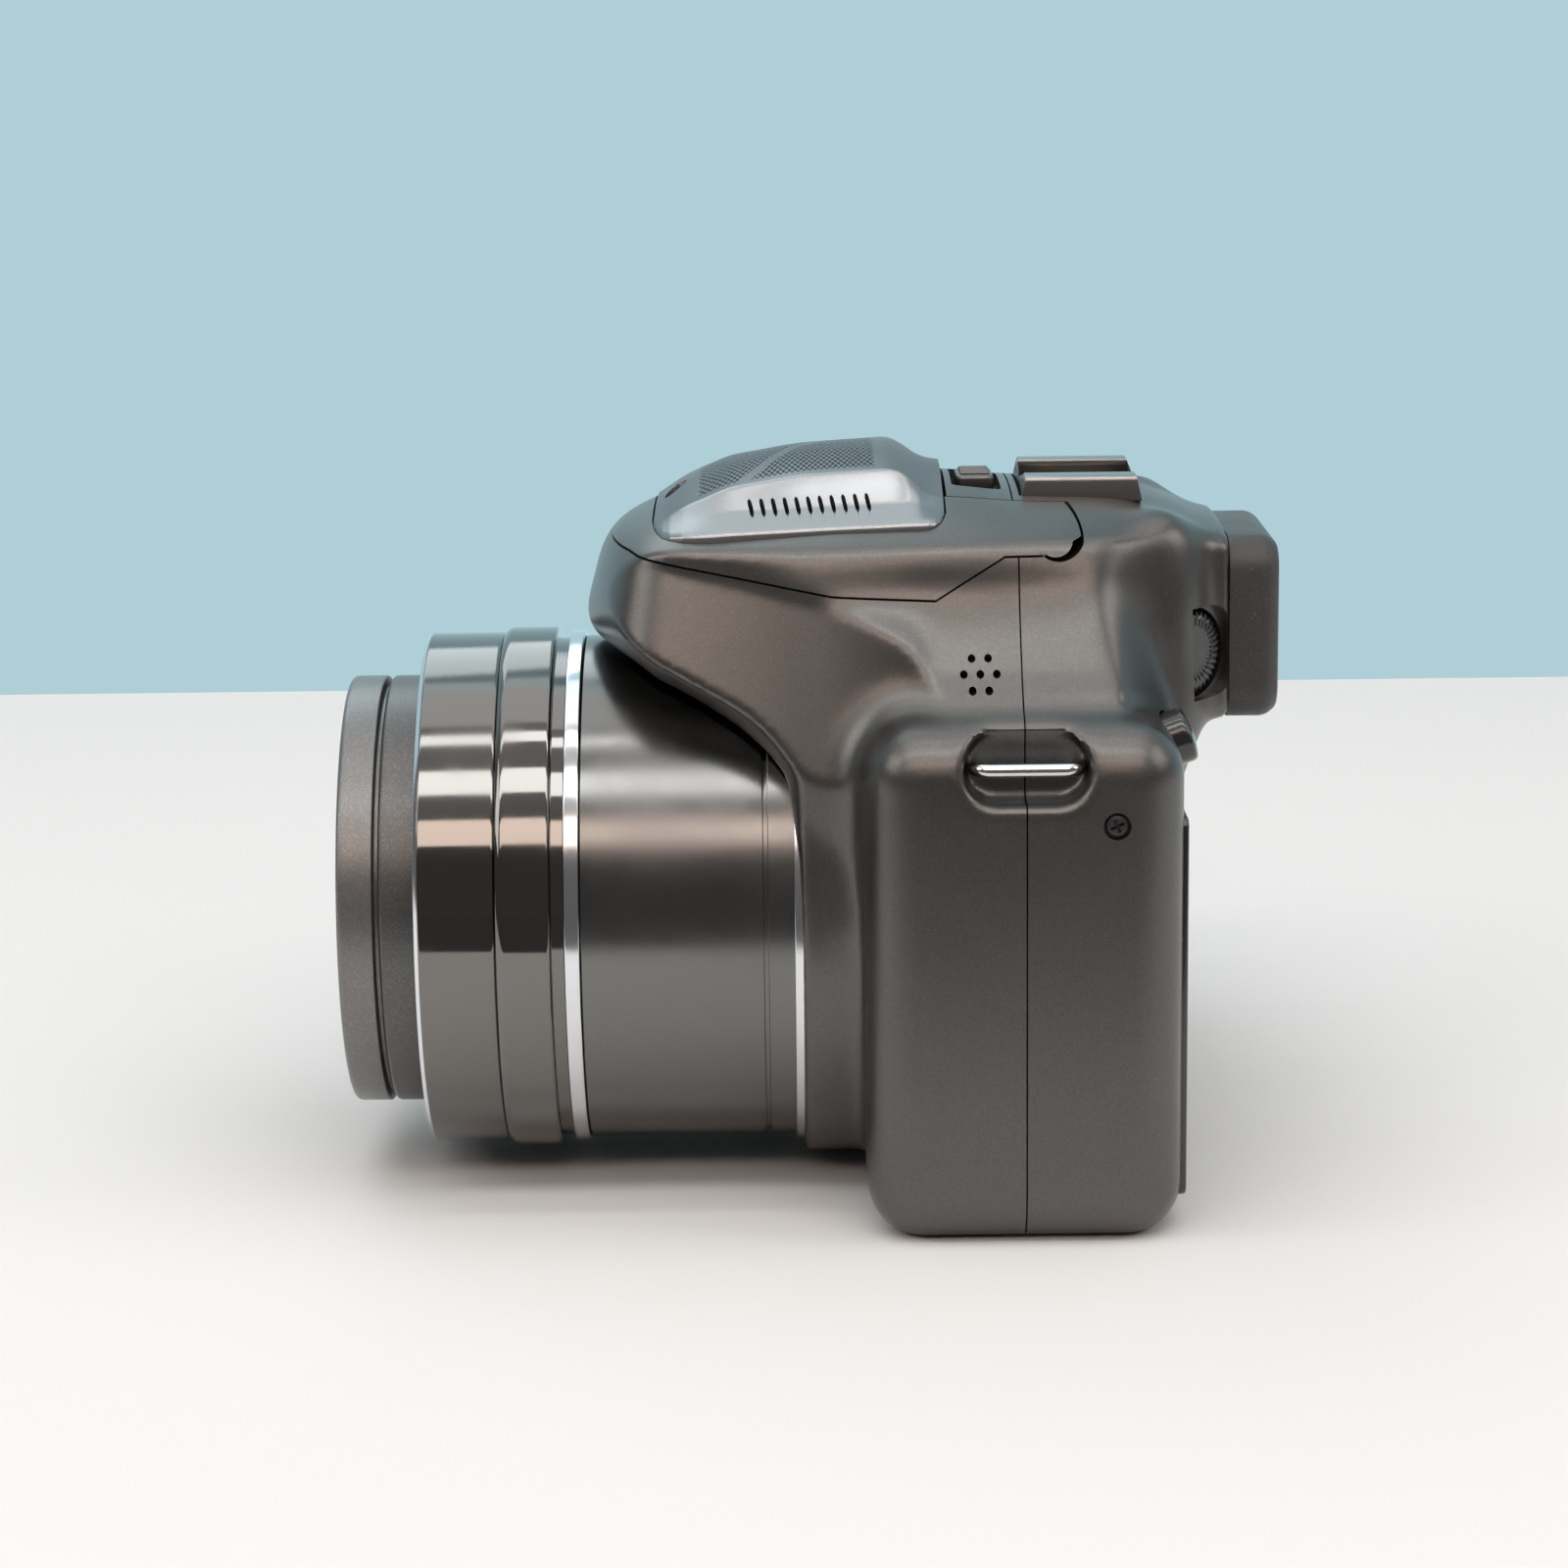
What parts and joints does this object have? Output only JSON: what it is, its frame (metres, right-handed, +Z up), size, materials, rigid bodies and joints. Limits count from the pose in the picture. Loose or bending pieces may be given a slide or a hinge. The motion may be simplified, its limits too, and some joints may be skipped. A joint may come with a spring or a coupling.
{
  "type": "bridge camera",
  "caption": "Bridge camera with a long power-zoom lens, clip-on lens cap, pop-up flash, eye-level viewfinder, rear display, right-hand grip and accessory shoe.",
  "frame": {"origin": "mouth of the tripod socket in the base, straight below the lens axis", "axes": "+Z up, the lens looks along -Y, +X towards the user's left hand"},
  "size_m": [0.1302, 0.1242, 0.0967],
  "materials": {
    "body_plastic": "fine satin speckle",
    "lid_plastic": "fine satin speckle",
    "silver_plastic": "satin, perforated",
    "gloss_black": "glossy",
    "ring_black": "turned, anodised",
    "barrel_black": "satin",
    "rubber_black": "fine grain",
    "chrome": "polished",
    "steel": "polished",
    "screw_black": "black oxide",
    "shoe_metal": "worn black",
    "contact_gold": "plated",
    "optical_glass": "coated",
    "flash_diffuser": "ribbed",
    "screen_glass": "glossy",
    "sheet_metal": "pressed",
    "board_green": "soldered",
    "cell_black": "satin"
  },
  "bodies": {
    "camera_body": {"front_cover": "body_plastic", "rear_cover": "body_plastic", "top_cover": "body_plastic", "display_frame": "gloss_black", "rear_ring": "ring_black", "front_ring": "ring_black", "lens_barrel": "barrel_black", "grip_rubber": "rubber_black", "eyecup": "rubber_black", "chrome_rings": "chrome", "strap_lugs": "steel", "tripod_socket": "steel", "flash_hinge_pin": "steel", "cover_screws": "screw_black", "hot_shoe": "shoe_metal", "shoe_contacts": "contact_gold", "rear_lens_group": "optical_glass", "eyepiece_lens": "optical_glass", "display_screen": "screen_glass", "viewfinder_display": "screen_glass", "chassis": "sheet_metal", "zoom_motor": "sheet_metal", "jack_block": "sheet_metal", "speaker": "sheet_metal", "main_board": "board_green", "image_sensor": "board_green", "battery": "cell_black", "memory_card": "cell_black"},
    "cam_ring": {"cam_ring": "sheet_metal"},
    "zoom_stage_1": {"zoom_stage_1": "barrel_black"},
    "zoom_stage_2": {"zoom_stage_2": "barrel_black", "front_element": "optical_glass"},
    "lens_cap": {"lens_cap": "barrel_black"},
    "cap_latch_left": {"cap_latch_left": "gloss_black"},
    "cap_latch_right": {"cap_latch_right": "gloss_black"},
    "flash_lid": {"flash_lid": "lid_plastic", "flash_frame": "barrel_black", "flash_window": "flash_diffuser", "microphone_cover": "silver_plastic"},
    "flash_release": {"flash_release": "gloss_black"},
    "diopter_dial": {"diopter_dial": "gloss_black"},
    "viewfinder_button": {"viewfinder_button": "gloss_black"},
    "mode_dial": {"mode_dial": "gloss_black"},
    "power_lever": {"power_lever": "gloss_black"},
    "shutter_button": {"shutter_button": "steel"},
    "zoom_lever": {"zoom_lever": "gloss_black"},
    "burst_button": {"burst_button": "gloss_black"},
    "movie_button": {"movie_button": "gloss_black"},
    "rear_dial": {"rear_dial": "gloss_black"},
    "playback_button": {"playback_button": "gloss_black"},
    "display_button": {"display_button": "gloss_black"},
    "menu_button": {"menu_button": "gloss_black"},
    "set_button": {"set_button": "gloss_black"},
    "cursor_up": {"cursor_up": "gloss_black"},
    "cursor_down": {"cursor_down": "gloss_black"},
    "cursor_left": {"cursor_left": "gloss_black"},
    "cursor_right": {"cursor_right": "gloss_black"},
    "battery_door": {"battery_door": "body_plastic"},
    "door_lock": {"door_lock": "gloss_black"},
    "terminal_door": {"terminal_door": "rubber_black"}
  },
  "joints": [
    {"name": "zoom_1", "type": "slide", "parent": "camera_body", "child": "zoom_stage_1", "axis": [0, -1, 0], "range_m": [0, 0.026]},
    {"name": "zoom_2", "type": "slide", "parent": "zoom_stage_1", "child": "zoom_stage_2", "axis": [0, -1, 0], "range_m": [0, 0.028]},
    {"name": "cam_turn", "type": "hinge", "parent": "camera_body", "child": "cam_ring", "pos_m": [0, -0.035, 0.0372], "axis": [0, -1, 0], "range_deg": [0, 100]},
    {"name": "cap_pull", "type": "slide", "parent": "zoom_stage_2", "child": "lens_cap", "axis": [0, -1, 0], "range_m": [0, 0.02]},
    {"name": "latch_left_pinch", "type": "slide", "parent": "lens_cap", "child": "cap_latch_left", "axis": [-1, 0, 0], "range_m": [0, 0.0015], "stiffness_N_per_m": 500},
    {"name": "latch_right_pinch", "type": "slide", "parent": "lens_cap", "child": "cap_latch_right", "axis": [1, 0, 0], "range_m": [0, 0.0015], "stiffness_N_per_m": 500},
    {"name": "flash_lid_tilt", "type": "hinge", "parent": "camera_body", "child": "flash_lid", "pos_m": [0, 0.004, 0.0884], "axis": [-1, 0, 0], "range_deg": [0, 55]},
    {"name": "flash_release_slide", "type": "slide", "parent": "camera_body", "child": "flash_release", "axis": [1, 0, 0], "range_m": [0, 0.0022], "stiffness_N_per_m": 300},
    {"name": "diopter_turn", "type": "hinge", "parent": "camera_body", "child": "diopter_dial", "pos_m": [0.0175, 0.0216, 0.0718], "axis": [0.7431, 0.6691, 0], "range_deg": [-60, 60]},
    {"name": "viewfinder_button_press", "type": "slide", "parent": "camera_body", "child": "viewfinder_button", "axis": [0, -0.9397, -0.342], "range_m": [0, 0.0006], "stiffness_N_per_m": 500},
    {"name": "mode_dial_turn", "type": "hinge", "parent": "camera_body", "child": "mode_dial", "pos_m": [-0.053, 0.002, 0.0675], "axis": [0, 0, 1], "continuous": true},
    {"name": "power_lever_turn", "type": "hinge", "parent": "camera_body", "child": "power_lever", "pos_m": [-0.0726, 0.005, 0.0675], "axis": [0, 0, 1], "range_deg": [0, 35]},
    {"name": "shutter_press", "type": "slide", "parent": "camera_body", "child": "shutter_button", "axis": [0, 0.225, -0.9744], "range_m": [0, 0.001], "stiffness_N_per_m": 500},
    {"name": "zoom_lever_turn", "type": "hinge", "parent": "camera_body", "child": "zoom_lever", "pos_m": [-0.0695, -0.0325, 0.06323], "axis": [0, -0.225, 0.9744], "range_deg": [-20, 20], "stiffness_Nm_per_rad": 0.05},
    {"name": "burst_button_press", "type": "slide", "parent": "camera_body", "child": "burst_button", "axis": [0, 0, -1], "range_m": [0, 0.0006], "stiffness_N_per_m": 500},
    {"name": "movie_button_press", "type": "slide", "parent": "camera_body", "child": "movie_button", "axis": [0, 0, -1], "range_m": [0, 0.0006], "stiffness_N_per_m": 500},
    {"name": "rear_dial_turn", "type": "hinge", "parent": "camera_body", "child": "rear_dial", "pos_m": [-0.058, 0.0141, 0.052], "axis": [0, 0, 1], "continuous": true},
    {"name": "playback_button_press", "type": "slide", "parent": "camera_body", "child": "playback_button", "axis": [0, -1, 0], "range_m": [0, 0.0006], "stiffness_N_per_m": 500},
    {"name": "display_button_press", "type": "slide", "parent": "camera_body", "child": "display_button", "axis": [0, -1, 0], "range_m": [0, 0.0006], "stiffness_N_per_m": 500},
    {"name": "menu_button_press", "type": "slide", "parent": "camera_body", "child": "menu_button", "axis": [0, -1, 0], "range_m": [0, 0.0006], "stiffness_N_per_m": 500},
    {"name": "set_button_press", "type": "slide", "parent": "camera_body", "child": "set_button", "axis": [0, -1, 0], "range_m": [0, 0.0006], "stiffness_N_per_m": 500},
    {"name": "cursor_up_press", "type": "slide", "parent": "camera_body", "child": "cursor_up", "axis": [0, -1, 0], "range_m": [0, 0.0006], "stiffness_N_per_m": 500},
    {"name": "cursor_down_press", "type": "slide", "parent": "camera_body", "child": "cursor_down", "axis": [0, -1, 0], "range_m": [0, 0.0006], "stiffness_N_per_m": 500},
    {"name": "cursor_left_press", "type": "slide", "parent": "camera_body", "child": "cursor_left", "axis": [0, -1, 0], "range_m": [0, 0.0006], "stiffness_N_per_m": 500},
    {"name": "cursor_right_press", "type": "slide", "parent": "camera_body", "child": "cursor_right", "axis": [0, -1, 0], "range_m": [0, 0.0006], "stiffness_N_per_m": 500},
    {"name": "battery_door_swing", "type": "hinge", "parent": "camera_body", "child": "battery_door", "pos_m": [-0.07715, -0.018, 0.0016], "axis": [0, 1, 0], "range_deg": [0, 95]},
    {"name": "door_lock_slide", "type": "slide", "parent": "battery_door", "child": "door_lock", "axis": [-1, 0, 0], "range_m": [0, 0.002]},
    {"name": "terminal_door_swing", "type": "hinge", "parent": "camera_body", "child": "terminal_door", "pos_m": [-0.0821, 0.0026, 0.033], "axis": [0, 0, 1], "range_deg": [0, 95]}
  ],
  "couplings": [
    {"joint": "zoom_2", "follows": "zoom_1", "ratio": 1.0769},
    {"joint": "cam_turn", "follows": "zoom_1", "rad_per_m": 67.128}
  ]
}
